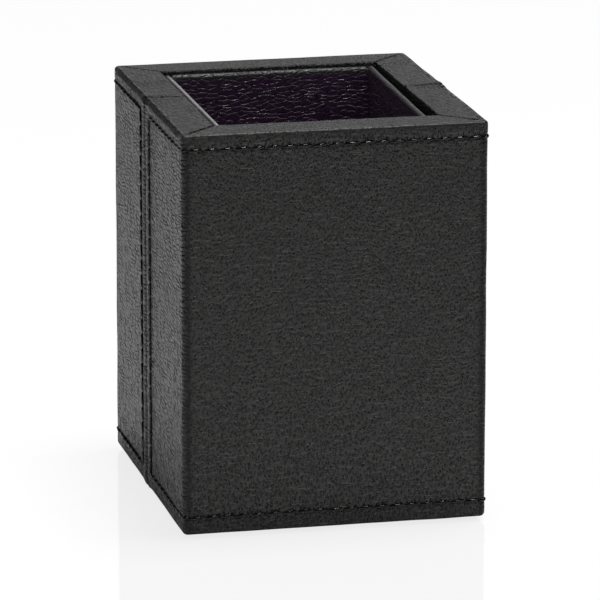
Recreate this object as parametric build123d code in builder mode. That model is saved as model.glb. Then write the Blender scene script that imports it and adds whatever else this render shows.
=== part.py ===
# Pencil cup: two stitched half covers of faux leather over a fibreboard box, with a separate lining.
# Millimetres. X runs across the front, +Y to the back, +Z up.
# The origin is the middle of the underside, on the surface that the cup stands on.

import os

from build123d import *

os.makedirs("parts", exist_ok=True)

# Overall size: leather face to leather face, and from the table to the rim
width = 80.0
depth = 90.0
height = 106.0

# Fibreboard box
board_thickness = 9.0
base_thickness = 9.0

# Outer cover
cover_thickness = 0.8
cover_round = 2.0
edge_round = 1.0
rim_round = 1.4
turn_in = 18.0
turn_under = 14.0
seam_behind_middle = 2.0
seam_gap = 0.2
seam_round = 0.5
mitre_gap = 0.2

# Stitching of the covers
stitch_pitch = 4.0
needle_hole = 0.6
thread_width = 0.6
thread_rise = 0.35
stitch_below_rim = 4.0
stitch_above_hem = 4.6
stitch_from_seam = 5.0

# Brads in the corners of the box and in the edge of its base
brad_radius = 0.6
brad_length = 20.0
brad_head_radius = 0.9
brad_head_thickness = 0.6
corner_brad_shares = (0.2, 0.5, 0.8)
base_brad_shares = (-0.25, 0.25)

# Lining
card_thickness = 1.2
lining_thickness = 0.4
lining_recess = 1.0
lining_gap = 0.4
lining_turn_back = 12.0
lining_corner_gap = 0.1
floor_clearance = 0.2

# Felt pad under the base
pad_thickness = 1.0
pad_inset = 3.0
pad_corner_round = 4.0

# The least that a cut runs past what it cuts
overrun = 1.0

# How far off the box, in cover thicknesses, an edge counts as one of the outer face
skin_share = 0.75

# Levels and plan sizes that follow from the values above
core_width = width - 2 * cover_thickness
core_depth = depth - 2 * cover_thickness
core_bottom = pad_thickness + cover_thickness
core_top = height - cover_thickness
core_height = core_top - core_bottom
base_top = core_bottom + base_thickness
room_width = core_width - 2 * board_thickness
room_depth = core_depth - 2 * board_thickness
well_width = room_width - 2 * cover_thickness
well_depth = room_depth - 2 * cover_thickness
rim_width = (width - well_width) / 2
floor_top = base_top + card_thickness + lining_thickness
panel_thickness = card_thickness + 2 * lining_thickness
panel_height = height - lining_recess - floor_top


def finish(builder, label):
    """Names a finished piece and writes its file."""
    builder.part.label = label
    export_step(builder.part, f"parts/{label}.step")


# The whole box as one blank, from which each board takes its share
with BuildPart() as core_blank:
    with BuildSketch(Plane.XY.offset(core_bottom)):
        Rectangle(core_width, core_depth)
    extrude(amount=core_height)
    fillet(core_blank.edges().filter_by(Axis.Z), cover_round - cover_thickness)
    core_levels = core_blank.edges().group_by(Axis.Z)
    fillet(core_levels[0] + core_levels[-1], edge_round - cover_thickness)
    with BuildSketch(Plane.XY.offset(base_top)):
        Rectangle(room_width, room_depth)
    extrude(amount=core_top - base_top, mode=Mode.SUBTRACT)
    rim_face = core_blank.faces().filter_by(Axis.Z).sort_by(Axis.Z)[-1]
    fillet(rim_face.inner_wires()[0].edges(), rim_round - cover_thickness)


def brad_plane(x, y, z, outward):
    """Where a brad's head lies flush in the box's outer face, with the normal pointing out."""
    return Plane(origin=(x, y, z), x_dir=(0, 0, 1), z_dir=outward)


corner_brad_planes = [
    brad_plane(
        x_side * (core_width - board_thickness) / 2,
        y_side * core_depth / 2,
        core_bottom + share * core_height,
        (0, y_side, 0),
    )
    for y_side in (-1, 1)
    for x_side in (-1, 1)
    for share in corner_brad_shares
]

base_brad_height = core_bottom + base_thickness / 2
base_brad_planes = [
    brad_plane(share * room_width, side * core_depth / 2, base_brad_height, (0, side, 0))
    for side in (-1, 1)
    for share in base_brad_shares
] + [
    brad_plane(side * core_width / 2, share * room_depth, base_brad_height, (side, 0, 0))
    for side in (-1, 1)
    for share in base_brad_shares
]

# Brads: round pins with a small flat head
for label, planes in (("corner_brads", corner_brad_planes), ("base_brads", base_brad_planes)):
    with BuildPart() as brads:
        with Locations(*planes):
            Cylinder(brad_radius, brad_length, align=(Align.CENTER, Align.CENTER, Align.MAX))
            Cylinder(
                brad_head_radius,
                brad_head_thickness,
                align=(Align.CENTER, Align.CENTER, Align.MAX),
            )
    finish(brads, label)

# Boards: the front and back run the full width, the sides stand between them, the base lies inside
wall_y = (core_depth - board_thickness) / 2
wall_x = (core_width - board_thickness) / 2
board_plans = {
    "front_board": ((0, -wall_y), (core_width, board_thickness), core_top),
    "back_board": ((0, wall_y), (core_width, board_thickness), core_top),
    "left_board": ((-wall_x, 0), (board_thickness, room_depth), core_top),
    "right_board": ((wall_x, 0), (board_thickness, room_depth), core_top),
    "base_board": ((0, 0), (room_width, room_depth), base_top),
}
for label, (middle, plan, top) in board_plans.items():
    with BuildPart() as board:
        add(core_blank.part)
        with BuildSketch(Plane.XY.offset(core_bottom)):
            with Locations(middle):
                Rectangle(*plan)
        extrude(amount=top - core_bottom, mode=Mode.INTERSECT)
        with Locations(*corner_brad_planes, *base_brad_planes):
            CounterBoreHole(brad_radius, brad_head_radius, brad_head_thickness, brad_length)
    finish(board, label)

# Both covers as one skin: up the outside, over the rim, down inside the walls and under the base
with BuildPart() as cover_blank:
    with BuildSketch(Plane.XY.offset(pad_thickness)):
        Rectangle(width, depth)
    extrude(amount=height - pad_thickness)
    fillet(cover_blank.edges().filter_by(Axis.Z), cover_round)
    cover_levels = cover_blank.edges().group_by(Axis.Z)
    fillet(cover_levels[0] + cover_levels[-1], edge_round)
    with BuildSketch(Plane.XY.offset(height)):
        Rectangle(well_width, well_depth)
    extrude(amount=-turn_in, mode=Mode.SUBTRACT)
    rim_face = cover_blank.faces().filter_by(Axis.Z).sort_by(Axis.Z)[-1]
    fillet(rim_face.inner_wires()[0].edges(), rim_round)
    add(core_blank.part, mode=Mode.SUBTRACT)
    with BuildSketch(Plane.XY.offset(base_top)):
        Rectangle(room_width, room_depth)
    extrude(amount=height - turn_in - base_top, mode=Mode.SUBTRACT)
    with BuildSketch(Plane.XY.offset(pad_thickness)):
        Rectangle(width - 2 * turn_under, depth - 2 * turn_under)
    extrude(amount=cover_thickness, mode=Mode.SUBTRACT)
    # Mitre cuts where two turned flaps meet, on the rim and under the base
    for x_side in (-1, 1):
        for y_side in (-1, 1):
            corner_x = x_side * (width / 2 - cover_round)
            corner_y = y_side * (depth / 2 - cover_round)
            inward = (-x_side, -y_side, 0)
            with Locations(Plane((corner_x, corner_y, height), inward, (0, 0, 1))):
                Box(
                    (rim_width - cover_round) * 2**0.5 + overrun,
                    mitre_gap,
                    turn_in,
                    align=(Align.MIN, Align.CENTER, Align.MAX),
                    mode=Mode.SUBTRACT,
                )
            with Locations(Plane((corner_x, corner_y, pad_thickness), inward, (0, 0, 1))):
                Box(
                    (turn_under - cover_round) * 2**0.5 + overrun,
                    mitre_gap,
                    cover_thickness,
                    align=(Align.MIN, Align.CENTER, Align.MIN),
                    mode=Mode.SUBTRACT,
                )

# Each half cover ends in a rounded fold at the seams in the side walls
for label, side in (("front_cover", -1), ("back_cover", 1)):
    seam_y = seam_behind_middle + side * seam_gap / 2
    with BuildPart() as cover:
        add(cover_blank.part)
        split(bisect_by=Plane((0, seam_y, 0), (1, 0, 0), (0, side, 0)), keep=Keep.TOP)
        seam_edges = cover.faces().filter_by(Axis.Y).group_by(Axis.Y)[0 if side > 0 else -1].edges()
        fold_edges = [
            edge
            for edge in seam_edges
            if core_blank.part.distance_to(edge.center()) > skin_share * cover_thickness
        ]
        fillet(fold_edges, seam_round)
    finish(cover, label)

# Stitches: a closed loop on each half cover, each stitch a short bar of thread on the leather
row_top = height - stitch_below_rim
row_bottom = pad_thickness + stitch_above_hem
corner_x = width / 2 - cover_round
corner_y = depth / 2 - cover_round
for label, side in (("front_stitching", -1), ("back_stitching", 1)):
    face_y = side * depth / 2
    column_y = seam_behind_middle + side * stitch_from_seam
    run = abs(side * corner_y - column_y)
    run_y = (side * corner_y + column_y) / 2
    rows = [
        (Plane((0, face_y, z), (1, 0, 0), (0, side, 0)), 2 * corner_x) for z in (row_top, row_bottom)
    ]
    for x_side in (-1, 1):
        face_x = x_side * width / 2
        outward = (x_side, 0, 0)
        for z in (row_top, row_bottom):
            rows.append((Plane((face_x, run_y, z), (0, 1, 0), outward), run))
        column_middle = (face_x, column_y, (row_top + row_bottom) / 2)
        rows.append((Plane(column_middle, (0, 0, 1), outward), row_top - row_bottom))
    with BuildPart() as stitching:
        for plane, length in rows:
            count = round(length / stitch_pitch)
            pitch = length / count
            with BuildSketch(plane):
                with GridLocations(pitch, 0, count, 1):
                    SlotOverall(pitch - needle_hole, thread_width)
            extrude(amount=thread_rise)
        # The stitches that bend round the upright corners
        for x_side in (-1, 1):
            for z in (row_top, row_bottom):
                axis = Axis((x_side * corner_x, side * corner_y, z), (0, 0, x_side * side))
                with BuildSketch(Plane(axis.position, (x_side, 0, 0), (0, -x_side, 0))):
                    with Locations((cover_round + thread_rise / 2, 0)):
                        Rectangle(thread_rise, thread_width)
                revolve(axis=axis, revolution_arc=90)
    finish(stitching, label)

# Lining: four panels of card, each with its leather rolled over the top and turned down behind
side_length = well_depth - 2 * lining_gap
end_length = well_width - 2 * (lining_gap + panel_thickness + lining_corner_gap)
walls = {
    "front": (Vector(0, 1, 0), well_depth / 2, end_length),
    "back": (Vector(0, -1, 0), well_depth / 2, end_length),
    "left": (Vector(1, 0, 0), well_width / 2, side_length),
    "right": (Vector(-1, 0, 0), well_width / 2, side_length),
}
roll_height = panel_height - panel_thickness / 2
for wall, (inward, reach, length) in walls.items():
    middle = inward * (lining_gap + panel_thickness / 2 - reach) + Vector(0, 0, floor_top)
    section = Plane(middle, inward, inward.cross(Vector(0, 0, 1)))
    low = (Align.CENTER, Align.MIN)
    with BuildPart() as card:
        with BuildSketch(section):
            Rectangle(card_thickness, roll_height, align=low)
            with Locations((0, roll_height)):
                Circle(card_thickness / 2)
        extrude(amount=length / 2, both=True)
    finish(card, f"{wall}_card")

    with BuildPart() as lining:
        with BuildSketch(section):
            Rectangle(panel_thickness, roll_height, align=low)
            with Locations((0, roll_height)):
                Circle(panel_thickness / 2)
            Rectangle(card_thickness, roll_height, align=low, mode=Mode.SUBTRACT)
            with Locations((0, roll_height)):
                Circle(card_thickness / 2, mode=Mode.SUBTRACT)
            with Locations((-panel_thickness / 2, 0)):
                Rectangle(
                    lining_thickness,
                    panel_height - lining_turn_back,
                    align=(Align.MIN, Align.MIN),
                    mode=Mode.SUBTRACT,
                )
        extrude(amount=length / 2, both=True)
    finish(lining, f"{wall}_lining")

# Floor of the cup: a card with its own lining, under the four panels
floor_layers = (
    ("floor_card", base_top, card_thickness),
    ("floor_lining", base_top + card_thickness, lining_thickness),
)
for label, level, thickness in floor_layers:
    with BuildPart() as layer:
        with BuildSketch(Plane.XY.offset(level)):
            Rectangle(room_width - 2 * floor_clearance, room_depth - 2 * floor_clearance)
        extrude(amount=thickness)
    finish(layer, label)

# Felt pad over the turned-under hems
with BuildPart() as base_pad:
    with BuildSketch(Plane.XY):
        RectangleRounded(width - 2 * pad_inset, depth - 2 * pad_inset, pad_corner_round)
    extrude(amount=pad_thickness)
finish(base_pad, "base_pad")
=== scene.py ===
import math
import random

import bmesh
import bpy
import numpy as np
from mathutils import Matrix, Vector, noise


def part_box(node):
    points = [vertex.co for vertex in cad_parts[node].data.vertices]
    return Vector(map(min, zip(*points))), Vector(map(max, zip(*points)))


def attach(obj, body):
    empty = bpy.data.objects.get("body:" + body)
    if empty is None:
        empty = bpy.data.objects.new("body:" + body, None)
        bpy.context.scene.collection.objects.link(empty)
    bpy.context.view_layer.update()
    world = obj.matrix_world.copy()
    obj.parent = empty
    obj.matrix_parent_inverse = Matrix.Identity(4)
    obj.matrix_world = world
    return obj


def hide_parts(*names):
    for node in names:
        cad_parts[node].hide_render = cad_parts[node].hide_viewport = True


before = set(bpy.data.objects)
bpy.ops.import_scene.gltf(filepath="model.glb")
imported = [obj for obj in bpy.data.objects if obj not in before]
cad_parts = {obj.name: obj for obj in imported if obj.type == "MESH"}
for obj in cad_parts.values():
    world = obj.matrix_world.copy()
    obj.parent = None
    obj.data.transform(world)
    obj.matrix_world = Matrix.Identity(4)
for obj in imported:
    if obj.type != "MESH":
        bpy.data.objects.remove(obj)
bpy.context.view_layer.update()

scene = bpy.context.scene
scene.view_settings.view_transform = "Standard"
random.seed(7)

# The pieces are worked out in millimetres and turned to metres when the mesh is made.
metre = 1000.0


def boxOf(node):
    low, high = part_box(node)
    return np.array(low) * metre, np.array(high) * metre


frontLow, frontHigh = boxOf("front_cover")
backLow, backHigh = boxOf("back_cover")
boardLow, boardHigh = boxOf("left_board")

halfWidth = frontHigh[0]
halfDepth = backHigh[1]
rimZ = frontHigh[2]
footZ = frontLow[2]  # lower edge of the covers, a pad's thickness above the table
seamY = (frontHigh[1] + backLow[1]) / 2
seamGap = backLow[1] - frontHigh[1]
leatherThickness = boardLow[0] + halfWidth
wellX = -boardHigh[0] - leatherThickness  # inner face of the turned-in cover
rimWidth = halfWidth - wellX
print("frame read: cover", halfWidth * 2, "x", halfDepth * 2, "x", rimZ - footZ)


# Meshes

def layFaces(index):
    faces = []
    for row, after in zip(index[:-1], index[1:]):
        for a, b, c, d in zip(row[:-1], row[1:], after[1:], after[:-1]):
            corners = []
            for corner in (a, b, c, d):
                if corner not in corners:
                    corners.append(int(corner))  # a pole gives a triangle
            if len(corners) > 2:
                faces.append(corners)
    return faces


def thicken(faces, count):
    # both sides of a sheet and its cut edges: the lower points follow the upper ones in the list
    both = faces + [[corner + count for corner in reversed(face)] for face in faces]
    edges = {(a, b) for face in faces for a, b in zip(face, face[1:] + face[:1])}
    for a, b in sorted(edges):
        if (b, a) not in edges:
            both.append([b, a, a + count, b + count])
    return both


def addColumn(points, values):
    return np.column_stack([points, np.full(len(points), values)])


def addPiece(name, points, faces, material, nodes, sheetPlace=None, marks=None):
    mesh = bpy.data.meshes.new(name)
    mesh.from_pydata((np.asarray(points) / metre).tolist(), [], faces)
    mesh.materials.append(material)
    mesh.polygons.foreach_set("use_smooth", [True] * len(mesh.polygons))
    if sheetPlace is not None:  # where each point lies on the flat hide, so that the grain follows the sheet
        layer = mesh.attributes.new("sheetPlace", "FLOAT_VECTOR", "POINT")
        flat = np.tile(addColumn(sheetPlace / metre, 0), (2, 1))  # the back of a sheet shares its face's places
        layer.data.foreach_set("vector", flat.astype(np.float32).ravel())
    for mark, values in (marks or {}).items():  # where the leather is pulled, stretched, or dulled and painted darker as shade, 0 to 1
        layer = mesh.attributes.new(mark, "FLOAT", "POINT")
        layer.data.foreach_set("value", np.tile(values, 2).astype(np.float32))
    loose = set(range(len(mesh.vertices))) - {v for face in faces for v in face}
    if loose:
        edit = bmesh.new()
        edit.from_mesh(mesh)
        edit.verts.ensure_lookup_table()
        bmesh.ops.delete(edit, geom=[edit.verts[i] for i in loose], context="VERTS")
        edit.to_mesh(mesh)
        edit.free()
    mesh.set_sharp_from_angle(angle=math.radians(62))
    piece = bpy.data.objects.new(name, mesh)
    scene.collection.objects.link(piece)
    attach(piece, "root")
    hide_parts(*nodes)
    print("made", name, len(mesh.vertices), "points", len(mesh.polygons), "faces")
    return piece


def waviness(points, wave, height, seed):
    # slow hand-made unevenness, the same on each run
    shift = Vector((seed * 3.1, seed * 5.7, seed * 1.9))
    return np.array([noise.noise(Vector(p) / wave + shift) for p in points]) * height


def smoothStep(low, high, value):
    t = np.clip((value - low) / (high - low), 0, 1)
    return t * t * (3 - 2 * t)


def band(value, start, full, fading, gone):
    return smoothStep(start, full, value) * (1 - smoothStep(fading, gone, value))


def spaced(values, least):
    values = np.unique(np.round(values, 4))
    keep = [values[0]]
    for value in values[1:]:
        if value - keep[-1] > least:
            keep.append(value)
    if keep[-1] != values[-1]:
        keep[-1] = values[-1]
    return np.array(keep)


# Materials

def toLinear(hexColour):
    channels = [int(hexColour[i:i + 2], 16) / 255 for i in (1, 3, 5)]
    return [c / 12.92 if c <= 0.04045 else ((c + 0.055) / 1.055) ** 2.4 for c in channels] + [1.0]


def addNode(tree, kind, settings=None, inputs=None):
    node = tree.nodes.new("ShaderNode" + kind)
    for key, value in (settings or {}).items():
        setattr(node, key, value)
    for key, value in (inputs or {}).items():
        if isinstance(value, tuple) and isinstance(value[0], bpy.types.Node):
            tree.links.new(value[0].outputs[value[1]], node.inputs[key])
        else:
            node.inputs[key].default_value = value
    return node


def newMaterial(name):
    material = bpy.data.materials.new(name)
    material.use_nodes = True
    material.node_tree.nodes.clear()
    return material, material.node_tree


# Settings that several nodes share
multiply, multiplyAdd = {"operation": "MULTIPLY"}, {"operation": "MULTIPLY_ADD"}
greater, lesser, subtract = {"operation": "MAXIMUM"}, {"operation": "MINIMUM"}, {"operation": "SUBTRACT"}
mixColours = {"data_type": "RGBA"}
smoothRamp = {"interpolation_type": "SMOOTHSTEP"}
cellEdges = {"feature": "DISTANCE_TO_EDGE", "voronoi_dimensions": "2D"}


# Embossed polyurethane leather on a knitted backing: near black and satin, with small slanting pits and thin
# lips on the faces, and creases where it is stretched around the sides. Grooves and pits are painted darker as
# their shade, and the lips are painted light as highlights. At a slant it mirrors the pale floor and looks grey,
# face on it stays dark.
coverLook = {
    # the crease colour is painted shade in grooves, pits and dulled places, the lip colour a painted highlight,
    # and the rolled colour a lit roll painted neutral grey
    "colour": "#1e1e1d", "colourWorn": "#222221", "colourShade": "#060606", "colourLipHighlight": "#4e4e4d",
    "colourLitRoll": "#222221",
    "creaseLong": 4.4, "creaseShort": 1.15, "creaseEdge": 0.32, "creaseLeast": 0.25, "creaseDepth": 0.95,
    "cellLong": 0.78, "cellShort": 1.25, "cellEdge": 0.25, "cellLeast": 0.0, "cellDepth": 0.15,
    "fineWide": 0.25, "fineTall": 1.0, "fineTilt": -0.35, "fineHeight": 0.2,
    "pitWide": 0.78, "pitTall": 1.35, "pitLow": 0.16, "pitHigh": 0.36, "pits": 1.0, "pitDepth": 0.5,
    "lipLong": 3.0, "lipShort": 1.2, "lipRun": 0.6, "lipEdge": 0.12, "lipLength": 2.5, "lipFrom": 0.43,
    "drift": 0.5, "flow": 3.0, "relief": 0.8,
    "roughness": 0.38, "polish": 0.0, "specular": 0.4,
}
# The lining is the same kind of sheet, thinner and glossier, black with an aubergine cast and larger
# cells, whose upper edges are painted as thin light lines, painted highlights. Where the rolls catch the light
# they are painted neutral grey, a lit copy of the same leather.
liningLook = {
    # the crease colour is painted shade in grooves, pits and dulled places, the lip colour a painted highlight,
    # and the rolled colour a lit roll painted neutral grey
    "colour": "#311a36", "colourWorn": "#39213f", "colourShade": "#110819", "colourLipHighlight": "#8c8680",
    "colourLitRoll": "#333332",
    "creaseLong": 6.0, "creaseShort": 2.0, "creaseEdge": 0.2, "creaseLeast": 0.1, "creaseDepth": 0.8,
    "cellLong": 2.4, "cellShort": 1.2, "cellEdge": 0.2, "cellLeast": 0.2, "cellDepth": 0.75,
    "fineWide": 0.5, "fineTall": 0.5, "fineTilt": 0.0, "fineHeight": 0.35,
    "pitWide": 1.2, "pitTall": 1.2, "pitLow": 0.1, "pitHigh": 0.3, "pits": 0.3, "pitDepth": 0.0,
    "lipLong": 2.4, "lipShort": 1.2, "lipRun": 0.4, "lipEdge": 0.12, "lipLength": 2.2, "lipFrom": 0.38,
    "drift": 1.0, "flow": 2.0, "relief": 0.23,
    "roughness": 0.3, "polish": 0.06, "specular": 0.5,
}
# What both sheets share: widths in mm, levels of noise, and shares that change from slack to stretched leather
grain = {
    "flowWave": 26.0, "driftWave": 4.0, "patchWide": 14.0, "patchRough": 0.6,
    "crease": {"breakWide": 3.0, "breakFrom": 0.4, "breakTo": 0.62, "slack": 0.03, "tight": 1.0},
    "cell": {"breakWide": 1.5, "breakFrom": 0.42, "breakTo": 0.6, "slack": 1.0, "tight": 0.6},
    "pitTight": 0.9, "pitFrom": 0.35, "pitTo": 0.6, "pitShallow": 0.2, "lipTight": 0.2, "lipFade": 0.1,
    "blotchWide": 1.6, "blotchRough": 0.65, "blotchFrom": 0.35, "blotchTo": 0.5, "blotchLeast": 0.35,
    "pulledFlat": 0.9, "grooveDull": 0.15, "patchDull": 0.08, "rubbedDull": 0.55, "gloss": 0.04,
}


def embossedLeather(name, look):
    material, tree = newMaterial(name)
    place, stretched, rubbed, pulled, rolled = [
        addNode(tree, "Attribute", {"attribute_name": mark})
        for mark in ("sheetPlace", "stretched", "rubbed", "pulled", "rolled")]
    bent = place  # the grain flows slowly and wavers finely
    for wave, reach in ((grain["flowWave"], look["flow"]), (grain["driftWave"], look["drift"])):
        sway = addNode(tree, "TexNoise", None, {"Vector": (bent, "Vector"), "Scale": metre / wave, "Detail": 2.0})
        swayCentred = addNode(tree, "VectorMath", subtract, {0: (sway, "Color"), 1: (0.5, 0.5, 0.5)})
        swaySized = addNode(tree, "VectorMath", {"operation": "SCALE"}, {
            0: (swayCentred, "Vector"), "Scale": 2 * reach / metre})
        bent = addNode(tree, "VectorMath", {"operation": "ADD"}, {0: (bent, "Vector"), 1: (swaySized, "Vector")})
    patches, blotches = [
        addNode(tree, "TexNoise", None, {
            "Vector": (place, "Vector"), "Scale": metre / grain[kind + "Wide"],
            "Detail": 3.0, "Roughness": grain[kind + "Rough"]})
        for kind in ("patch", "blotch")]

    # grooves: long creases and a network of cells, each broken off here and there
    lines = []
    for kind in ("crease", "cell"):
        run = grain[kind]
        space = addNode(tree, "Mapping", None, {
            "Vector": (bent, "Vector"), "Scale": (metre / look[kind + "Long"], metre / look[kind + "Short"], 1)})
        edge = addNode(tree, "TexVoronoi", cellEdges, {"Vector": (space, "Vector"), "Scale": 1.0})
        line = addNode(tree, "MapRange", smoothRamp, {
            "Value": (edge, "Distance"), "From Max": look[kind + "Edge"], "To Min": 1.0, "To Max": 0.0})
        breaks = addNode(tree, "TexNoise", None, {
            "Vector": (bent, "Vector"), "Scale": metre / run["breakWide"], "Detail": 1.0})
        shown = addNode(tree, "MapRange", None, {
            "Value": (breaks, "Fac"), "From Min": run["breakFrom"], "From Max": run["breakTo"],
            "To Min": look[kind + "Least"], "To Max": look[kind + "Depth"]})
        share = addNode(tree, "MapRange", None, {
            "Value": (stretched, "Fac"), "To Min": run["slack"], "To Max": run["tight"]})
        shownHere = addNode(tree, "Math", multiply, {0: (shown, "Result"), 1: (share, "Result")})
        lines.append(addNode(tree, "Math", multiply, {0: (line, "Result"), 1: (shownHere, "Value")}))
    groove = addNode(tree, "Math", greater, {0: (lines[0], "Value"), 1: (lines[1], "Value")})

    # pits: small slanting spots, deeper and shallower by the fine grain
    fineSpace, pitSpace = [
        addNode(tree, "Mapping", None, {
            "Vector": (bent, "Vector"), "Rotation": (0, 0, look["fineTilt"]),
            "Scale": (metre / look[kind + "Wide"], metre / look[kind + "Tall"], 1)})
        for kind in ("fine", "pit")]
    fine = addNode(tree, "TexNoise", {"noise_dimensions": "2D"}, {
        "Vector": (fineSpace, "Vector"), "Scale": 1.0, "Detail": 1.0, "Roughness": 0.5})
    pit = addNode(tree, "TexVoronoi", {"feature": "F1", "voronoi_dimensions": "2D"}, {
        "Vector": (pitSpace, "Vector"), "Scale": 1.0})
    pitDeep = addNode(tree, "MapRange", None, {
        "Value": (fine, "Fac"), "From Min": grain["pitFrom"], "From Max": grain["pitTo"],
        "To Min": look["pits"], "To Max": grain["pitShallow"] * look["pits"]})
    pits = addNode(tree, "MapRange", None, {
        "Value": (pit, "Distance"), "From Min": look["pitLow"], "From Max": look["pitHigh"],
        "To Min": (pitDeep, "Result"), "To Max": 0.0})
    pitSlack, lipSlack = [
        addNode(tree, "MapRange", None, {
            "Value": (stretched, "Fac"), "To Min": 1.0, "To Max": grain[kind + "Tight"]})
        for kind in ("pit", "lip")]
    pitsHere = addNode(tree, "Math", multiply, {0: (pits, "Result"), 1: (pitSlack, "Result")})

    # relief: fine grain and dulled crumples stand up, grooves and pits go in, and pulled leather lies flat
    crumple = addNode(tree, "Math", multiply, {0: (rubbed, "Fac"), 1: (blotches, "Fac")})
    raised = addNode(tree, "Math", multiplyAdd, {0: (fine, "Fac"), 1: look["fineHeight"], 2: (crumple, "Value")})
    dent = addNode(tree, "Math", multiplyAdd, {0: (pitsHere, "Value"), 1: look["pitDepth"], 2: (groove, "Value")})
    height = addNode(tree, "Math", subtract, {0: (raised, "Value"), 1: (dent, "Value")})
    strength = addNode(tree, "Math", multiplyAdd, {0: (pulled, "Fac"), 1: -grain["pulledFlat"], 2: 1.0})
    bump = addNode(tree, "Bump", None, {
        "Height": (height, "Value"), "Strength": (strength, "Value"), "Distance": look["relief"] / metre})

    # lips: thin lines painted light as highlights where they run level, so that they also show a little to
    # either side
    lips = []
    for shift in (-0.5, 0.5):
        lipSpace = addNode(tree, "Mapping", None, {
            "Vector": (bent, "Vector"), "Location": (shift * look["lipRun"] / look["lipLong"], 0, 0),
            "Scale": (metre / look["lipLong"], metre / look["lipShort"], 1)})
        lipEdge = addNode(tree, "TexVoronoi", cellEdges, {"Vector": (lipSpace, "Vector"), "Scale": 1.0})
        lips.append(addNode(tree, "MapRange", smoothRamp, {
            "Value": (lipEdge, "Distance"), "From Max": look["lipEdge"], "To Min": 1.0, "To Max": 0.0}))
    lip = addNode(tree, "Math", lesser, {0: (lips[0], "Result"), 1: (lips[1], "Result")})
    lipNoise = addNode(tree, "TexNoise", None, {
        "Vector": (place, "Vector"), "Scale": metre / look["lipLength"], "Detail": 1.0})
    lipShown = addNode(tree, "MapRange", None, {
        "Value": (lipNoise, "Fac"), "From Min": look["lipFrom"], "From Max": look["lipFrom"] + grain["lipFade"]})
    lipHere = addNode(tree, "Math", multiply, {0: (lip, "Value"), 1: (lipShown, "Result")})
    lipHighlightShare = addNode(tree, "Math", multiply, {0: (lipHere, "Value"), 1: (lipSlack, "Result")})

    # colour, from the ground up: painted shade in grooves and pits, painted highlights on the lips, the lit rolls
    # painted neutral grey, and painted shade where the leather is marked dull
    blotchShare = addNode(tree, "MapRange", None, {
        "Value": (blotches, "Fac"), "From Min": grain["blotchFrom"], "From Max": grain["blotchTo"],
        "To Min": grain["blotchLeast"]})
    # painted shade: where the leather is marked dull it is also coloured near black, in blotches
    dullAndShadedShare = addNode(tree, "Math", multiply, {0: (rubbed, "Fac"), 1: (blotchShare, "Result")})
    # painted shade: grooves and pits are coloured near black where their own shadow falls
    shade = addNode(tree, "Math", greater, {0: (groove, "Value"), 1: (pitsHere, "Value")})
    colour = addNode(tree, "Mix", mixColours, {
        "Factor": (patches, "Fac"), 6: toLinear(look["colour"]), 7: toLinear(look["colourWorn"])})
    for factor, output, over in ((shade, "Value", "colourShade"), (lipHighlightShare, "Value", "colourLipHighlight"),
                                 (rolled, "Fac", "colourLitRoll"), (dullAndShadedShare, "Value", "colourShade")):
        colour = addNode(tree, "Mix", mixColours, {
            "Factor": (factor, output), 6: (colour, 2), 7: toLinear(look[over])})

    # roughness: duller in grooves, in patches and where marked dull, glossier where pulled
    dull = addNode(tree, "Math", multiplyAdd, {
        0: (groove, "Value"), 1: grain["grooveDull"], 2: look["roughness"] - grain["gloss"]})
    satin = addNode(tree, "Math", multiplyAdd, {0: (patches, "Fac"), 1: grain["patchDull"], 2: (dull, "Value")})
    polished = addNode(tree, "Math", multiplyAdd, {0: (pulled, "Fac"), 1: -look["polish"], 2: (satin, "Value")})
    roughness = addNode(tree, "Math", {"operation": "MULTIPLY_ADD", "use_clamp": True}, {
        0: (dullAndShadedShare, "Value"), 1: grain["rubbedDull"], 2: (polished, "Value")})
    shader = addNode(tree, "BsdfPrincipled", None, {
        "Base Color": (colour, 2), "Roughness": (roughness, "Value"), "Normal": (bump, "Normal"),
        "IOR": 1.5, "Specular IOR Level": look["specular"]})
    addNode(tree, "OutputMaterial", None, {"Surface": (shader, "BSDF")})
    return material


# Bonded polyester thread, three plies twisted together: deep black, with a few small glints where it is tight
threadLook = {"colour": "#060606", "colourLoose": "#101011", "fibre": 0.12, "relief": 0.03, "roughness": 0.4,
              "roughSpread": 0.2, "coat": 0.7, "coatRoughness": 0.06}


def twistedPolyester(name, look):
    material, tree = newMaterial(name)
    place = addNode(tree, "TexCoord")
    fibres = addNode(tree, "TexNoise", None, {
        "Vector": (place, "Object"), "Scale": metre / look["fibre"], "Detail": 2.0})
    colour = addNode(tree, "Mix", mixColours, {
        "Factor": (fibres, "Fac"), 6: toLinear(look["colour"]), 7: toLinear(look["colourLoose"])})
    bump = addNode(tree, "Bump", None, {"Height": (fibres, "Fac"), "Distance": look["relief"] / metre})
    roughness = addNode(tree, "Math", multiplyAdd, {
        0: (fibres, "Fac"), 1: look["roughSpread"], 2: look["roughness"] - look["roughSpread"] / 2})
    shader = addNode(tree, "BsdfPrincipled", None, {
        "Base Color": (colour, 2), "Roughness": (roughness, "Value"), "Normal": (bump, "Normal"), "IOR": 1.5,
        "Specular IOR Level": 0.0, "Coat Weight": look["coat"], "Coat Roughness": look["coatRoughness"]})
    addNode(tree, "OutputMaterial", None, {"Surface": (shader, "BSDF")})
    return material


# Needled black felt: matt, fibrous, greyish where fibres stand up; tufts drawn 1.6 mm wide so that they show
feltLook = {"colour": "#0c0c0d", "colourFibre": "#3a3a3d", "fibre": 1.6, "relief": 0.5, "roughness": 0.95}
# Medium-density fibreboard, sawn: warm brown compressed fibres with darker specks
boardLook = {"colour": "#a9855c", "colourFibre": "#7d5c3a", "fibre": 0.8, "relief": 0.05, "roughness": 0.8}
# Uncoated grey card from waste paper: dull grey with paler and darker flecks
cardLook = {"colour": "#8d8a84", "colourFibre": "#6b6862", "fibre": 0.6, "relief": 0.04, "roughness": 0.9}


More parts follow.
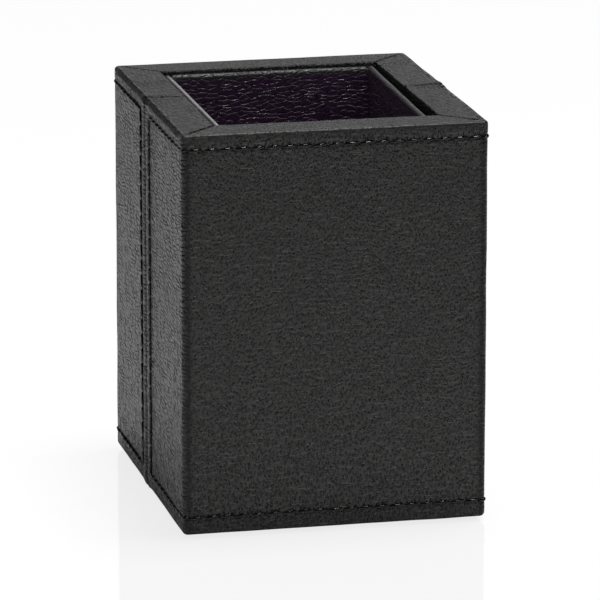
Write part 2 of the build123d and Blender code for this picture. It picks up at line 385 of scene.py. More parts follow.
def fibrous(name, look, sheen):
    material, tree = newMaterial(name)
    place = addNode(tree, "TexCoord")
    fibres = addNode(tree, "TexNoise", None, {
        "Vector": (place, "Object"), "Scale": metre / look["fibre"], "Detail": 6.0,
        "Roughness": 0.7, "Distortion": 1.5})
    flecks = addNode(tree, "MapRange", None, {"Value": (fibres, "Fac"), "From Min": 0.4, "From Max": 0.7})
    colour = addNode(tree, "Mix", mixColours, {
        "Factor": (flecks, "Result"), 6: toLinear(look["colour"]), 7: toLinear(look["colourFibre"])})
    bump = addNode(tree, "Bump", None, {"Height": (fibres, "Fac"), "Distance": look["relief"] / metre})
    roughness = addNode(tree, "Math", multiplyAdd, {0: (fibres, "Fac"), 1: -0.12, 2: look["roughness"] + 0.05})
    shader = addNode(tree, "BsdfPrincipled", None, {
        "Base Color": (colour, 2), "Roughness": (roughness, "Value"), "Normal": (bump, "Normal"),
        "Sheen Weight": sheen, "Specular IOR Level": 0.25})
    addNode(tree, "OutputMaterial", None, {"Surface": (shader, "BSDF")})
    return material


# Drawn steel wire: bright, with fine lines from the die
wireLook = {"colour": "#b9bbbd", "line": 0.15, "relief": 0.01, "roughness": 0.3, "roughSpread": 0.2}


def drawnSteel(name, look):
    material, tree = newMaterial(name)
    place = addNode(tree, "TexCoord")
    lines = addNode(tree, "TexNoise", None, {
        "Vector": (place, "Object"), "Scale": metre / look["line"], "Detail": 3.0})
    roughness = addNode(tree, "Math", multiplyAdd, {
        0: (lines, "Fac"), 1: look["roughSpread"], 2: look["roughness"] - look["roughSpread"] / 2})
    bump = addNode(tree, "Bump", None, {"Height": (lines, "Fac"), "Distance": look["relief"] / metre})
    shader = addNode(tree, "BsdfPrincipled", None, {
        "Base Color": toLinear(look["colour"]), "Metallic": 1.0, "Roughness": (roughness, "Value"),
        "Normal": (bump, "Normal")})
    addNode(tree, "OutputMaterial", None, {"Surface": (shader, "BSDF")})
    return material


coverLeather = embossedLeather("black embossed leather", coverLook)
liningLeather = embossedLeather("aubergine black lining leather", liningLook)
blackThread = twistedPolyester("black twisted polyester thread", threadLook)
blackFelt = fibrous("black needled felt", feltLook, 0.3)
fibreboard = fibrous("sawn fibreboard", boardLook, 0.0)
greyCard = fibrous("grey card", cardLook, 0.0)
brightWire = drawnSteel("drawn steel wire", wireLook)
print("materials made:", len(bpy.data.materials))


# Outer covers: two half wraps, up the outside, over the rim, down inside and under the base

cover = {
    "cornerRound": 1.5, "rimEdge": 0.75, "hemEdge": 1.1, "rimRound": 0.5, "turnIn": 18.0, "turnUnder": 14.0,
    "mitreGap": {-1: 0.3, 1: 0.15}, "mitreDrop": {-1: 0.74, 1: 0.4}, "mitreReach": 0.2,
    "seamRise": {-1: 0.24, 1: 0.3}, "riseFull": {-1: 1.0, 1: 1.5}, "riseEnd": {-1: 4.5, 1: 7.0},
    "foldRound": 1.6, "foldDrop": 0.72,
    "groove": 0.12, "grooveWidth": 0.6, "hole": 0.26, "holeWidth": 0.55, "puff": 0.06,
    "wave": 11.0, "waveHeight": 0.09, "perStitch": 5,
    "mostSink": 0.74, "hemProud": 0.45, "apart": 500.0,
    "nearSeam": [0, 0.1, 0.25, 0.45, 0.7, 1.0, 1.5, 2.3, 3.1, 3.8, 4.3, 4.65],
    "nearRow": (-1.1, -0.55, -0.25, 0.25, 0.55, 1.1, 1.9), "nearCorner": (0.12, 0.35, 0.7),
}
# How much each part of a cover is made dull and painted darker, as painted shade in the well, below the lower
# row and beside the uprights, and how much it is pulled smooth or slack, 0 to 1
coverWearAndShade = {"rimTop": 0.22, "turnedIn": 0.7, "hem": 0.22, "upright": 0.65, "rimPulled": 0.85, "pulledDull": 0.25,
             "topSlack": 0.6}
stitch = {
    "pitch": 4.0, "belowRim": 4.0, "aboveHem": 4.6, "fromSeam": 5.0,
    "radius": 0.41, "slant": 0.27, "dive": 0.65, "plies": 3, "turns": 0.5,
    "row": {"crown": 0.06, "start": 0.09, "swell": 2.8},  # along the front and back
    "sideRow": {"crown": 0.24, "start": 0.14, "swell": 2.2},
    "column": {"crown": 0.16, "start": 0.025, "swell": 8.0},
    "rings": 13, "round": 12,
}
cornerRound, rimEdge, hemEdge, rimRound = [cover[key] for key in ("cornerRound", "rimEdge", "hemEdge", "rimRound")]
rowTop = rimZ - stitch["belowRim"]
rowBottom = footZ + stitch["aboveHem"]
columnAt = stitch["fromSeam"] - seamGap / 2  # from a cover's own edge
bendLength = cornerRound * math.pi / 2
faceLength = 2 * (halfWidth - cornerRound)


def runLength(side):
    return abs(side * (halfDepth - cornerRound) - seamY) - seamGap / 2


def outlineAt(s, side):
    # a place on the outer face, s along from the left seam: plan position and outward direction
    run = runLength(side)
    total = 2 * run + 2 * bendLength + faceLength
    cornerX, cornerY = halfWidth - cornerRound, side * (halfDepth - cornerRound)
    if s > total / 2:
        place, out = outlineAt(total - s, side)
        return np.array([-place[0], place[1]]), np.array([-out[0], out[1]])
    if s <= run:
        return np.array([-halfWidth, cornerY - side * (run - s)]), np.array([-1.0, 0.0])
    if s < run + bendLength:
        turn = (s - run) / cornerRound
        out = np.array([-math.cos(turn), side * math.sin(turn)])
        return np.array([-cornerX, cornerY]) + out * cornerRound, out
    return np.array([-cornerX + s - run - bendLength, side * halfDepth]), np.array([0.0, float(side)])


def needleHoles(side):
    # along one level row, from the left seam's column to the right one's
    run = runLength(side)
    runCount = round((run - columnAt) / stitch["pitch"])
    faceCount = round(faceLength / stitch["pitch"])
    left = list(np.linspace(columnAt, run, runCount + 1))
    face = list(run + bendLength + np.linspace(0, faceLength, faceCount + 1))
    total = 2 * run + 2 * bendLength + faceLength
    return np.array(left + face + [total - s for s in reversed(left)]), total


def columnHoles():
    count = round((rowTop - rowBottom) / stitch["pitch"])
    return np.linspace(rowBottom, rowTop, count + 1)


def stitchRelief(s, z, holes, total):
    # how the thread's loop pulls the leather in: a groove, a pit at each needle hole, a soft swell beside it
    overS = np.abs(s - total / 2) - (total / 2 - columnAt)
    overZ = np.abs(z - (rowTop + rowBottom) / 2) - (rowTop - rowBottom) / 2
    outside = np.hypot(np.maximum(overS, 0), np.maximum(overZ, 0))
    signed = outside + np.minimum(np.maximum(overS, overZ), 0)
    relief = -cover["groove"] * np.exp(-(signed / cover["grooveWidth"]) ** 2)
    spots = [(h, level) for h in holes for level in (rowTop, rowBottom)]
    spots += [(c, level) for c in (columnAt, total - columnAt) for level in columnHoles()[1:-1]]
    for holeS, holeZ in spots:
        near = (np.abs(s - holeS) < 2) & (np.abs(z - holeZ) < 2)
        gap = (s[near] - holeS) ** 2 + (z[near] - holeZ) ** 2
        relief[near] -= cover["hole"] * np.exp(-gap / cover["holeWidth"] ** 2)
    return relief + cover["puff"] * np.sin(np.pi * np.clip(signed / stitch["belowRim"], 0, 1))


def seamRelief(seamDistance, side):
    # the folded allowance lifts the leather beside the seam, and its edge rolls down into the gap
    falling = smoothStep(cover["riseFull"][side], cover["riseEnd"][side], seamDistance)
    rise = cover["seamRise"][side] * (1 - falling)
    t = np.clip(1 - seamDistance / cover["foldRound"], 0, 1)
    return rise - (cover["foldDrop"] + rise) * (1 - np.sqrt(1 - t * t * 0.999))


def coverColumns(side):
    run = runLength(side)
    holes, total = needleHoles(side)
    half = cover["nearSeam"] + [columnAt + 0.25, columnAt + 0.55]
    for beside in cover["nearCorner"]:
        half += [run - beside, run + bendLength + beside]
    half += list(np.linspace(run, run + bendLength, 11))
    for a, b in zip(holes[:-1], holes[1:]):
        if a < total / 2:
            half += list(np.linspace(a, b, cover["perStitch"] + 1))
    half = [c for c in half if c <= total / 2]
    columns = spaced(np.array(half + [total - c for c in half]), 0.06)
    return columns, holes, total


def wallLevels():
    levels = columnHoles()
    rows = []
    for a, b in zip(levels[:-1], levels[1:]):
        rows += list(np.linspace(a, b, cover["perStitch"] + 1))
    rows += [row + beside for row in (rowTop, rowBottom) for beside in cover["nearRow"]]
    low, high = footZ + hemEdge, rimZ - rimEdge
    rows = [r for r in rows if low + 0.1 < r < high - 0.1] + [low, low + 0.8, high - 0.8, high]
    return spaced(np.array(rows), 0.06)


def flapPoint(s, total, run, side, inset, gap):
    # plan position on a turned flap, mitred at the box's corners and straight at the seam,
    # then the room to the mitre and the place along the flat sheet
    reach = inset - cornerRound + gap * min(1, (inset - cornerRound) / 0.6)
    if s <= run:
        along = s * (run - reach) / run
        place = (-halfWidth + inset, side * (halfDepth - cornerRound) - side * (run - along))
        return place, run - reach - along, along
    if s >= total - run:
        place, room, along = flapPoint(total - s, total, run, side, inset, gap)
        return (-place[0], place[1]), room, total - along
    half = faceLength / 2
    across = (s - total / 2) * (half - reach) / half
    return (across, side * (halfDepth - inset)), half - reach - abs(across), total / 2 + across


def coverMarks(flat, total, run, rimStart, innerStart):
    # by place on the flat sheet: along the side from the seam, and height
    alongSide, high = np.minimum(flat[:, 0], total - flat[:, 0]), flat[:, 1]
    onSide = 1 - smoothStep(run, run + bendLength, alongSide)
    stretched = onSide * (1 - coverWearAndShade["topSlack"] * smoothStep(0, 2, high - rimZ))
    # the dull mark also paints the leather darker: along the rim's side edges and a little on the rim top, and as
    # painted shade down the turned-in leather in the well, on the strip below the lower row and beside the
    # uprights
    rimSide = band(high - rimZ, -1.6, -0.8, 0.1, 0.4) * (1 - smoothStep(run - 5, run, alongSide))
    rimTop = coverWearAndShade["rimTop"] * smoothStep(0, 0.8, high - rimStart - rimEdge)
    rimTop += coverWearAndShade["turnedIn"] * onSide * smoothStep(0.3, 1.2, high - rimStart - innerStart)
    hem = coverWearAndShade["hem"] * (1 - onSide) * (1 - smoothStep(-0.8, 0.2, high - rowBottom))
    upright = band(alongSide - run - bendLength, -0.5 * bendLength, -0.15 * bendLength, 0, 1.2)
    upright *= coverWearAndShade["upright"] * (1 - smoothStep(-2.5, -1, high - rimZ))
    pulled = coverWearAndShade["rimPulled"] * band(high - rimZ, -0.9, -0.4, 0.3, 0.6)
    pulled *= smoothStep(run, run + bendLength, alongSide)
    rubbed = np.max([rimSide, rimTop, hem, upright, coverWearAndShade["pulledDull"] * pulled], axis=0)
    return {"stretched": stretched, "rubbed": rubbed, "pulled": pulled}


def makeCover(name, node, side):
    columns, holes, total = coverColumns(side)
    run = runLength(side)
    places, outs = (np.array(part) for part in zip(*[outlineAt(s, side) for s in columns]))
    anchors = places - outs * cornerRound
    backing = leatherThickness - 0.01  # from the face of the leather to its back
    seamDistance = np.minimum(columns, total - columns)
    seamRise = seamRelief(seamDistance, side)
    closing = np.where(seamDistance < 1e-3, side * (seamGap / 2 - 0.01), 0)  # the lower edges meet at the seam
    # rows: distance from the corner's axis, height, outward and upward normal, height on the flat sheet
    rows = [(cornerRound - inset, footZ, 0.0, -1.0, footZ + hemEdge * (2 - math.pi / 2) - inset)
            for inset in np.linspace(cornerRound, hemEdge, 4)[:-1]]
    rows += [(cornerRound - hemEdge * (1 - math.cos(t)), footZ + hemEdge * (1 - math.sin(t)),
              math.cos(t), -math.sin(t), footZ + hemEdge * (1 - t)) for t in np.linspace(math.pi / 2, 0, 7)[:-1]]
    rows += [(cornerRound, z, 1.0, 0.0, z) for z in wallLevels()]
    rows += [(cornerRound - rimEdge * (1 - math.cos(t)), rimZ - rimEdge * (1 - math.sin(t)),
              math.cos(t), math.sin(t), rimZ - rimEdge * (1 - t)) for t in np.linspace(0, math.pi / 2, 7)[1:]]
    rimStart = rimZ - rimEdge * (2 - math.pi / 2)
    rows += [(cornerRound - inset, rimZ, 0.0, 1.0, rimStart + inset)
             for inset in np.linspace(rimEdge, cornerRound, 5)[1:]]
    even, under, normal, relief, flat = [], [], [], [], []
    for radius, z, outward, upward, unrolled in rows:
        plan = anchors + outs * radius
        planUnder = anchors + outs * (radius - outward * backing)
        planUnder[:, 1] -= closing
        even.append(addColumn(plan, z))
        under.append(addColumn(planUnder, z - upward * backing))
        normal.append(addColumn(outs * outward, upward))
        flat.append(addColumn(columns, unrolled))
        relief.append(stitchRelief(columns, np.full(len(plan), unrolled), holes, total) + seamRise)
    index = np.arange(len(rows) * len(columns)).reshape(len(rows), len(columns))
    bendLeft = np.where((columns > run - 1e-3) & (columns < run + bendLength + 1e-3))[0]
    bendRight = np.where((columns > total - run - bendLength - 1e-3) & (columns < total - run + 1e-3))[0]
    for bend in (bendLeft, bendRight):
        for end in (0, -1):
            index[end, bend] = index[end, bend[0]]  # the corner's columns meet in a pole
    turn = -1 if side < 0 else 1
    faces = layFaces(index[:, ::turn])
    used = index.size
    innerStart = rimWidth - rimRound
    innerLength = rimRound * math.pi / 2
    flapTop = [(inset, rimZ, 0.0, 1.0, rimStart + inset, 1 - 0.75 * float(smoothStep(cornerRound, 7, inset)))
               for inset in np.linspace(cornerRound, innerStart, 11)[1:]]
    flapTop += [(innerStart + math.sin(t) * rimRound, rimZ - rimRound * (1 - math.cos(t)),
                 -math.sin(t), math.cos(t), rimStart + innerStart + t * rimRound, 0.25)
                for t in np.linspace(0, math.pi / 2, 7)[1:]]
    turnStart = rimStart + innerStart + innerLength - rimRound
    flapTop += [(rimWidth, rimZ - drop, -1.0, 0.0, turnStart + drop, 0.25)
                for drop in np.linspace(rimRound, cover["turnIn"], 8)[1:]]
    flapUnder = [(inset, footZ, 0.0, -1.0, footZ + hemEdge * (2 - math.pi / 2) - inset, 0.0)
                 for inset in np.linspace(cornerRound, cover["turnUnder"], 9)[1:]]
    runs = [np.arange(0, bendLeft[0] + 1), np.arange(bendLeft[-1], bendRight[0] + 1),
            np.arange(bendRight[-1], len(columns))]
    for flap, first, flip in ((flapTop, -1, 1), (flapUnder, 0, -1)):
        for part in runs:
            out = outs[part[len(part) // 2]]
            lines = [index[first, part]]
            for inset, z, outward, upward, unrolled, share in flap:
                plan, room, along = (np.array(p) for p in zip(
                    *[flapPoint(columns[c], total, run, side, inset, cover["mitreGap"][side]) for c in part]))
                insetUnder = inset + outward * backing
                planUnder = np.array([flapPoint(columns[c], total, run, side, insetUnder, 0.01)[0] for c in part])
                planUnder[:, 1] -= closing[part]
                even.append(addColumn(plan, z))
                under.append(addColumn(planUnder, z - upward * backing))
                normal.append(addColumn(np.tile(out * outward, (len(part), 1)), upward))
                flat.append(addColumn(along, unrolled))
                drop = cover["mitreDrop"][side] * np.exp(-(room / math.sqrt(2) / cover["mitreReach"]) ** 2)
                lift = np.maximum(seamRise[part], 0) * share + np.minimum(seamRise[part], 0)
                relief.append(lift - drop * min(1, (inset - cornerRound) / 1.5))
                lines.append(np.arange(used, used + len(part)))
                used += len(part)
            faces += layFaces(np.array(lines)[:, ::turn * flip])
    even, under, normal, flat = (np.concatenate(part) for part in (even, under, normal, flat))
    relief = np.concatenate(relief) + waviness(even, cover["wave"], cover["waveHeight"], 1 + side)
    onHem = (normal[:, 2] < -0.9) & (even[:, 2] < footZ + 0.01)
    relief = np.where(onHem, np.minimum(relief, cover["hemProud"]), relief)
    outer = even + normal * np.maximum(relief, -cover["mostSink"])[:, None]
    marks = coverMarks(flat, total, run, rimStart, innerStart)
    flat[:, 0] += cover["apart"] * (1 + side)  # each half is cut from its own place on the roll
    piece = addPiece(name, np.concatenate([outer, under]), thicken(faces, len(outer)), coverLeather, [node],
                     flat, marks)


makeCover("leather_front_cover", "front_cover", -1)
makeCover("leather_back_cover", "back_cover", 1)
print("covers made")


# Stitching: each stitch a short twisted length of thread that dives into its needle holes

def threadStretch(path, ups, turnStart):
    path, ups = np.array(path), np.array(ups)
    tangents = np.gradient(path, axis=0)
    tangents /= np.linalg.norm(tangents, axis=1)[:, None]
    sides = np.cross(tangents, ups)
    sides /= np.linalg.norm(sides, axis=1)[:, None]
    lifts = np.cross(sides, tangents)
    angles = np.linspace(0, 2 * math.pi, stitch["round"], endpoint=False)
    rings = []
    for i, (p, a, b) in enumerate(zip(path, sides, lifts)):
        twist = turnStart + 2 * math.pi * stitch["turns"] * i / (len(path) - 1)
        swell = stitch["radius"] * (0.86 + 0.18 * np.abs(np.cos((angles * stitch["plies"] - twist) / 2)))
        rings.append(p + np.outer(np.cos(angles) * swell, a) + np.outer(np.sin(angles) * swell, b))
    count = len(angles)
    index = np.arange(len(path) * count).reshape(len(path), count)
    index = np.column_stack([index, index[:, 0]])
    faces = layFaces(index)
    faces.append([int(i) for i in index[0, :-1]][::-1])
    faces.append([int(i) for i in index[-1, :-1]])
    return np.concatenate(rings), faces


def makeStitching(name, node, side):
    holes, total = needleHoles(side)
    levels = columnHoles()
    spans = [((a, z), (b, z)) for z in (rowTop, rowBottom) for a, b in zip(holes[:-1], holes[1:])]
    spans += [((c, a), (c, b)) for c in (columnAt, total - columnAt) for a, b in zip(levels[:-1], levels[1:])]
    points, faces, used = [], [], 0
    for (s0, z0), (s1, z1) in spans:
        slant = stitch["slant"] * random.uniform(0.7, 1.3)
        level = abs(s1 - s0) > abs(z1 - z0)
        onSide = min(s1, total - s0) < runLength(side) - 5
        kind = stitch["column" if not level else "sideRow" if onSide else "row"]
        lift = kind["crown"] + random.uniform(-0.02, 0.03)
        start = kind["start"]
        path, ups = [], []
        for t in np.linspace(start, 1 - start, stitch["rings"]):
            across = slant * (2 * t - 1)
            s = s0 + (s1 - s0) * t + (0 if level else across)
            z = z0 + (z1 - z0) * t + (across if level else 0)
            place, out = outlineAt(s, side)
            hem = float(seamRelief(np.array([min(s, total - s)]), side)[0])
            high = lift + hem - (lift + stitch["dive"]) * abs((2 * t - 1) / (1 - 2 * start)) ** kind["swell"]
            path.append([place[0] + out[0] * high, place[1] + out[1] * high, z])
            ups.append([out[0], out[1], 0])
        stretch, stretchFaces = threadStretch(path, ups, random.uniform(0, 2 * math.pi))
        points.append(stretch)
        faces += [[corner + used for corner in face] for face in stretchFaces]
        used += len(stretch)
    addPiece(name, np.concatenate(points), faces, blackThread, [node])


makeStitching("thread_front_stitching", "front_stitching", -1)
makeStitching("thread_back_stitching", "back_stitching", 1)
print("stitching made")


# Lining: four panels with the leather rolled over the top of the card and turned down behind

lining = {
    "turnBack": 12.0, "thickness": 0.4, "endRound": 0.8, "wave": 14.0, "waveHeight": 0.12, "step": 1.5,
    "rollRise": 0.18, "rollSharp": 0.6, "rollDrop": 0.4,
    "standOff": 1.5,  # the right panel's upper front corner stands this far off its wall
    "apart": 300.0, "floorDullAndShade": 0.5,
    "shadeAndPolish": {  # gap painted dark as shadow, roll dulled and painted darker, roll smoothed
        "front": {"gap": 1, "roll": 0.3, "pulled": 0}, "back": {"gap": 0.4, "roll": 0.3, "pulled": 0},
        "left": {"gap": 1, "roll": 0, "pulled": 1}, "right": {"gap": 1, "roll": 0.35, "pulled": 0.3},
    },
}


rightLow, rightHigh = boxOf("right_lining")


def standOff(points):
    share = np.clip((points - rightLow) / (rightHigh - rightLow), 0, 1)
    return lining["standOff"] * (1 - share[:, 1]) * share[:, 2]


def makeLining(wall):
    low, high = boxOf(f"{wall}_lining")
    lengthwise = 1 if wall in ("left", "right") else 0
    across = 1 - lengthwise
    inward = 1.0 if low[across] + high[across] < 0 else -1.0
    middle = (low[across] + high[across]) / 2
    half = (high[across] - low[across]) / 2
    rollZ = high[2] - half + lining["rollRise"]
    rise = np.linspace(low[2], rollZ, 62)
    fall = np.linspace(rollZ - lining["rollDrop"], high[2] - lining["turnBack"], 8)
    profile = [(half, z, 1.0, 0.0, z) for z in rise]
    for t in np.linspace(0, math.pi, 21)[1:-1]:
        # the left roll is pressed flatter on its inner side
        sharp = lining["rollSharp"] if wall == "left" and t < math.pi / 2 else 1
        (c, s), lean = [np.array([math.copysign(abs(math.cos(t)) ** power, math.cos(t)), math.sin(t) ** power])
                        for power in (sharp, 2 - sharp)]
        lean /= np.linalg.norm(lean)
        before = profile[-1]
        z = rollZ + half * s - lining["rollDrop"] * max(0, -c)
        gone = math.hypot(half * c - before[0], z - before[1])
        profile.append((half * c, z, lean[0], lean[1], before[4] + gone))
    behind = profile[-1][4] + profile[-1][1]
    profile += [(-half, z, -1.0, 0.0, behind - z) for z in fall]
    length = high[lengthwise] - low[lengthwise]
    near = np.array([0, 0.12, 0.3, 0.55, 0.9, 1.4])
    between = np.linspace(2, length - 2, round(length / lining["step"]))
    along = spaced(np.concatenate([near, between, length - near]), 0.06)
    ends = np.minimum(along, length - along)
    t = np.clip(1 - ends / lining["endRound"], 0, 1)
    endSink = lining["endRound"] * (1 - np.sqrt(1 - t * t * 0.999))
    even, normal, flat, pulled, hidden = [], [], [], [], []
    for offset, z, outward, upward, unrolled in profile:
        point, turn = np.zeros((len(along), 3)), np.zeros((len(along), 3))
        point[:, lengthwise] = low[lengthwise] + along
        point[:, across] = middle + inward * offset
        point[:, 2] = z - endSink * smoothStep(rollZ - 2, rollZ, z)
        turn[:, across] = inward * outward
        turn[:, 2] = upward
        if wall == "right":
            point[:, 0] -= standOff(point)
        if wall == "front":  # its right end makes room for the panel that stands off
            point[:, 0] -= standOff(point) * along / length
        even.append(point)
        normal.append(turn)
        flat.append(addColumn(along, unrolled))
        pulled.append(np.full(len(along), smoothStep(rollZ - 0.6, rollZ + 0.3, unrolled)))
        hidden.append(np.full(len(along), smoothStep(0.1, 0.45, -offset / half)))
    index = np.arange(len(profile) * len(along)).reshape(len(profile), len(along))
    flip = inward * (1 if lengthwise == 0 else -1)
    faces = layFaces(index[:, ::-1] if flip > 0 else index)
    even, normal, flat, pulled, hidden = [np.concatenate(part) for part in (even, normal, flat, pulled, hidden)]
    seed = {"front": 11, "back": 12, "left": 13, "right": 14}[wall]
    # painted shadow in the gap behind each roll; the rolls of the front, back and right panels are dulled and
    # painted darker as shade, and the lit part of each roll is painted neutral grey
    rolled = pulled * (1 - hidden)
    shadeAndPolish = lining["shadeAndPolish"][wall]
    rubbed = np.maximum(hidden * shadeAndPolish["gap"], pulled * shadeAndPolish["roll"])
    pulled = rolled * shadeAndPolish["pulled"]
    relief = np.clip(waviness(even, lining["wave"], lining["waveHeight"], seed), -0.05, 0.1)
    relief = relief * (1 - 0.7 * pulled)
    flat[:, 0] += lining["apart"] * seed  # each panel is cut from its own place on the roll
    points = np.concatenate([even + normal * relief[:, None], even - normal * (lining["thickness"] - 0.01)])
    piece = addPiece(f"leather_{wall}_lining", points, thicken(faces, len(even)), liningLeather,
                     [f"{wall}_lining"], flat,
                     {"rolled": rolled, "rubbed": rubbed, "pulled": pulled})


def makeRightCard():
    # the stiffener of the panel that stands off bends with its leather
    low, high = boxOf("right_card")
    half = (high[0] - low[0]) / 2
    rollZ = high[2] - half
    ys = np.linspace(low[1], high[1], 24)
    profile = [(-half, z) for z in np.linspace(low[2], rollZ, 30)]
    profile += [(-half * math.cos(t), rollZ + half * math.sin(t)) for t in np.linspace(0, math.pi, 9)[1:-1]]
    profile += [(half, z) for z in np.linspace(rollZ, low[2], 30)]
    profile.append(profile[0])
    points = np.array([[(low[0] + high[0]) / 2 + x, y, z] for x, z in profile[:-1] for y in ys])
    points[:, 0] -= standOff(points)
    index = np.arange(len(points)).reshape(len(profile) - 1, len(ys))
    index = np.concatenate([index, index[:1]])
    faces = layFaces(index)
    faces.append([int(i) for i in index[:-1, 0]])
    faces.append([int(i) for i in index[:-1, -1]][::-1])
    addPiece("card_right_panel", points, faces, greyCard, ["right_card"])


for wall in ("front", "back", "left", "right"):
    makeLining(wall)
makeRightCard()


def makeFloorLining():
    low, high = boxOf("floor_lining")
    xs, ys = np.linspace(low[0], high[0], 40), np.linspace(low[1], high[1], 46)
    even = np.array([[x, y, high[2]] for y in ys for x in xs])
    index = np.arange(len(even)).reshape(len(ys), len(xs))
    relief = np.clip(waviness(even, lining["wave"], lining["waveHeight"], 15), -0.1, 0.0)
    outer, inner = even.copy(), even.copy()
    outer[:, 2] += relief
    inner[:, 2] = low[2]
    faces = thicken(layFaces(index), len(outer))
    # painted shade: the floor lining is marked half dull, which also colours it darker under the top lamp
    piece = addPiece("leather_floor_lining", np.concatenate([outer, inner]), faces, liningLeather,
                     ["floor_lining"], even[:, :2],
                     {"stretched": np.ones(len(even)), "rubbed": np.full(len(even), lining["floorDullAndShade"])})


makeFloorLining()
print("lining made")


# Felt pad under the base, soft at its edges

felt = {"cornerRound": 4.0, "edgeRound": 0.35, "fuzz": 0.07, "step": 1.2}


def makePad():
    low, high = boxOf("base_pad")
    halfX, halfY = high[0], high[1]
    countX, countY = round(2 * halfX / felt["step"]), round(2 * halfY / felt["step"])
    corner = felt["cornerRound"]

    def rounded(x, y, shrink):
        cornerX, cornerY = halfX - corner, halfY - corner
        a, b = (abs(x) - cornerX) / corner, (abs(y) - cornerY) / corner
        if a > 0 and b > 0:  # the square corner turned into a quarter disc
            a, b = a * math.sqrt(1 - b * b / 2), b * math.sqrt(1 - a * a / 2)
            x, y = math.copysign(cornerX + a * corner, x), math.copysign(cornerY + b * corner, y)
        return [x * (1 - shrink / halfX), y * (1 - shrink / halfY)]

    grid = [(x, y) for y in np.linspace(-halfY, halfY, countY) for x in np.linspace(-halfX, halfX, countX)]
    index = np.arange(len(grid)).reshape(countY, countX)
    outer, inner = [], []
    for x, y in grid:
        edge = min(halfX - abs(x), halfY - abs(y)) < 1e-6
        fuzz = felt["fuzz"] * (noise.noise(Vector((x, y, 0.5)) * 0.9) + 1) / 2
        shrink = felt["edgeRound"] if edge else 0
        outer.append(rounded(x, y, shrink) + [low[2] + fuzz + shrink])
        inner.append(rounded(x, y, 0) + [high[2]])
    piece = addPiece("felt_base_pad", np.array(outer + inner), thicken(layFaces(index[:, ::-1]), len(outer)),
                     blackFelt, ["base_pad"])


makePad()
print("felt pad made")


# Rigid pieces inside keep their solids and get their own materials

insideLooks = {"_board": fibreboard, "_card": greyCard, "_brads": brightWire}
for nodeName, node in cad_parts.items():
    for ending, material in insideLooks.items():
        if nodeName.endswith(ending):
            node.data.materials.clear()
            node.data.materials.append(material)


# Stage: white floor with a faint reflection, white room, two soft lamps

stage = {
    "floorSize": 6.0, "floorColour": "#f4f4f4", "floorGloss": 0.09, "floorWhite": 0.88, "floorRoughness": 0.05,
    "roomLight": 0.5, "roomGloss": 0.04,
    "topPlace": (0.12, 0.0, 1.1), "topSize": (0.3, 0.3), "topPower": 10.5,
    "panelPlace": (0.34, 1.3, 0.32), "panelSize": (0.84, 0.6), "panelPower": 1.65,
}


def makeFloor():
    material, tree = newMaterial("white studio floor")
    ray = addNode(tree, "LightPath")
    paint = addNode(tree, "BsdfDiffuse", None, {"Color": toLinear(stage["floorColour"])})
    white = addNode(tree, "Emission", None, {"Color": (1, 1, 1, 1), "Strength": 1.0})
    share = addNode(tree, "Math", multiply, {0: (ray, "Is Camera Ray"), 1: stage["floorWhite"]})
    ground = addNode(tree, "MixShader", None, {0: (share, "Value"), 1: (paint, "BSDF"), 2: (white, "Emission")})
    gloss = addNode(tree, "BsdfGlossy", None, {"Roughness": stage["floorRoughness"]})
    both = addNode(tree, "MixShader", None, {0: stage["floorGloss"], 1: (ground, "Shader"), 2: (gloss, "BSDF")})
    addNode(tree, "OutputMaterial", None, {"Surface": (both, "Shader")})
    mesh = bpy.data.meshes.new("studio_floor")
    reach = stage["floorSize"] / 2
    corners = [(x * reach, y * reach, 0) for x, y in ((-1, -1), (1, -1), (1, 1), (-1, 1))]
    mesh.from_pydata(corners, [], [(0, 1, 2, 3)])
    mesh.materials.append(material)
    floor = bpy.data.objects.new("studio_floor", mesh)
    scene.collection.objects.link(floor)


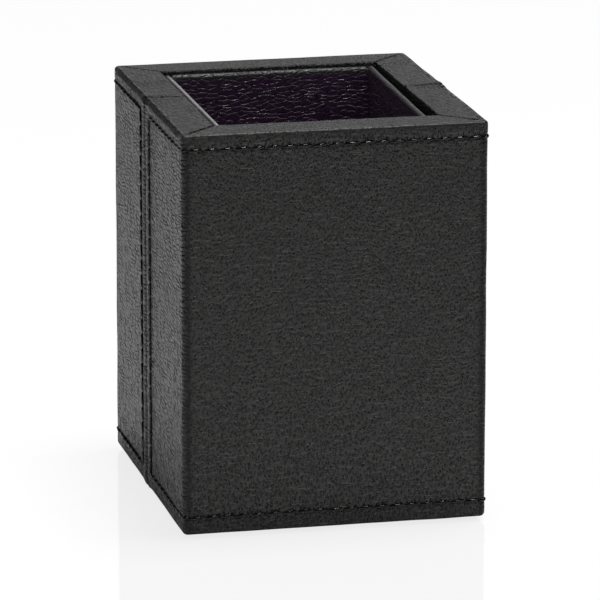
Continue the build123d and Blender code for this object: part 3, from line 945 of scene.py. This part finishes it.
def makeRoom():
    world = bpy.data.worlds.new("white room")
    scene.world = world
    world.use_nodes = True
    tree = world.node_tree
    tree.nodes.clear()
    ray = addNode(tree, "LightPath")
    seen = addNode(tree, "Math", greater, {0: (ray, "Is Camera Ray"), 1: (ray, "Is Transmission Ray")})
    mirrored = addNode(tree, "MapRange", None, {
        "Value": (ray, "Is Glossy Ray"), "To Min": stage["roomLight"], "To Max": stage["roomGloss"]})
    strength = addNode(tree, "Math", greater, {0: (seen, "Value"), 1: (mirrored, "Result")})
    room = addNode(tree, "Background", None, {"Color": (1, 1, 1, 1), "Strength": (strength, "Value")})
    addNode(tree, "OutputWorld", None, {"Surface": (room, "Background")})


def addLamp(name, place, size, power):
    lamp = bpy.data.lights.new(name, "AREA")
    lamp.shape = "RECTANGLE"
    lamp.size, lamp.size_y = size
    lamp.energy = power
    lampObject = bpy.data.objects.new(name, lamp)
    lampObject.location = place
    aim = Vector((0, 0, rimZ / metre / 2)) - Vector(place)
    lampObject.rotation_euler = aim.to_track_quat("-Z", "Y").to_euler()
    scene.collection.objects.link(lampObject)


makeFloor()
makeRoom()
addLamp("top softbox", stage["topPlace"], stage["topSize"], stage["topPower"])
addLamp("white panel behind", stage["panelPlace"], stage["panelSize"], stage["panelPower"])
print("stage made")


# Camera: fitted to the outline of the cup in the photograph, a long lens a little above and to the left

view = {
    "azimuth": -12.853, "elevation": 14.216, "roll": 0.032, "distance": 1401.8,
    "shiftRight": -0.822, "shiftUp": 3.262, "lens": 319.08, "aimHeight": 53.5,
}


def makeCamera():
    a, e, r = (math.radians(view[key]) for key in ("azimuth", "elevation", "roll"))
    back = Vector((math.sin(a) * math.cos(e), -math.cos(a) * math.cos(e), math.sin(e)))
    right = Vector((math.cos(a), math.sin(a), 0))
    up = back.cross(right)
    right, up = math.cos(r) * right + math.sin(r) * up, -math.sin(r) * right + math.cos(r) * up
    place = Vector((0, 0, view["aimHeight"])) + view["distance"] * back
    place -= view["shiftRight"] * right + view["shiftUp"] * up
    lens = bpy.data.cameras.new("long lens")
    lens.lens = view["lens"]
    lens.clip_start, lens.clip_end = 0.01, 50
    camera = bpy.data.objects.new("long lens", lens)
    turn = Matrix((right, up, back)).transposed().to_4x4()
    camera.matrix_world = Matrix.Translation(place / metre) @ turn
    scene.collection.objects.link(camera)
    scene.camera = camera


makeCamera()
